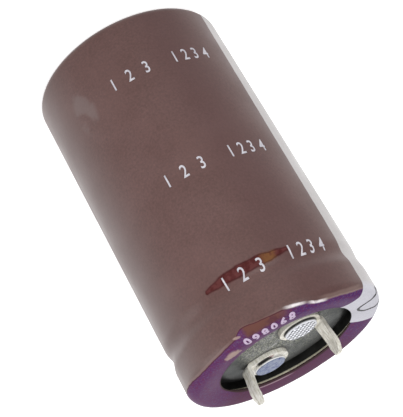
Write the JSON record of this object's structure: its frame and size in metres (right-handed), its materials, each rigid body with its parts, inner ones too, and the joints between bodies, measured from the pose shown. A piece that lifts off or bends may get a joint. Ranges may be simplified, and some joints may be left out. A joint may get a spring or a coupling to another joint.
{
  "type": "electrolytic capacitor",
  "caption": "Radial can capacitor in a shrunk plastic sleeve, with a rolled bead, a sunken rubber seal and two riveted snap-in blades.",
  "frame": {"origin": "middle of the face that the sleeved closed end stands on", "axes": "+Z runs along the can from the closed end to the terminals, +X to the positive terminal, -X to the negative terminal and the pale stripe"},
  "size_m": [0.026, 0.026, 0.048],
  "materials": {
    "sleeve_film": "semi-gloss shrunk film, taupe brown with one pale stripe",
    "can_aluminium": "drawn, satin",
    "seal_rubber": "dark grey, fine matt grain",
    "seal_board": "brown laminated board",
    "tinned_blade": "matt tin plating",
    "rivet_aluminium": "bright, pressed",
    "foil_tab": "soft bright foil",
    "wound_paper": "soaked paper and etched foil edges",
    "closing_tape": "amber film tape"
  },
  "bodies": {
    "root": {"sleeve": "sleeve_film", "can": "can_aluminium", "seal_rubber": "seal_rubber", "seal_board": "seal_board", "terminal_positive": "tinned_blade", "terminal_negative": "tinned_blade", "rivet_positive": "rivet_aluminium", "rivet_negative": "rivet_aluminium", "washer_positive": "rivet_aluminium", "washer_negative": "rivet_aluminium", "tab_positive": "foil_tab", "tab_negative": "foil_tab", "winding": "wound_paper", "winding_tape": "closing_tape"}
  },
  "joints": []
}
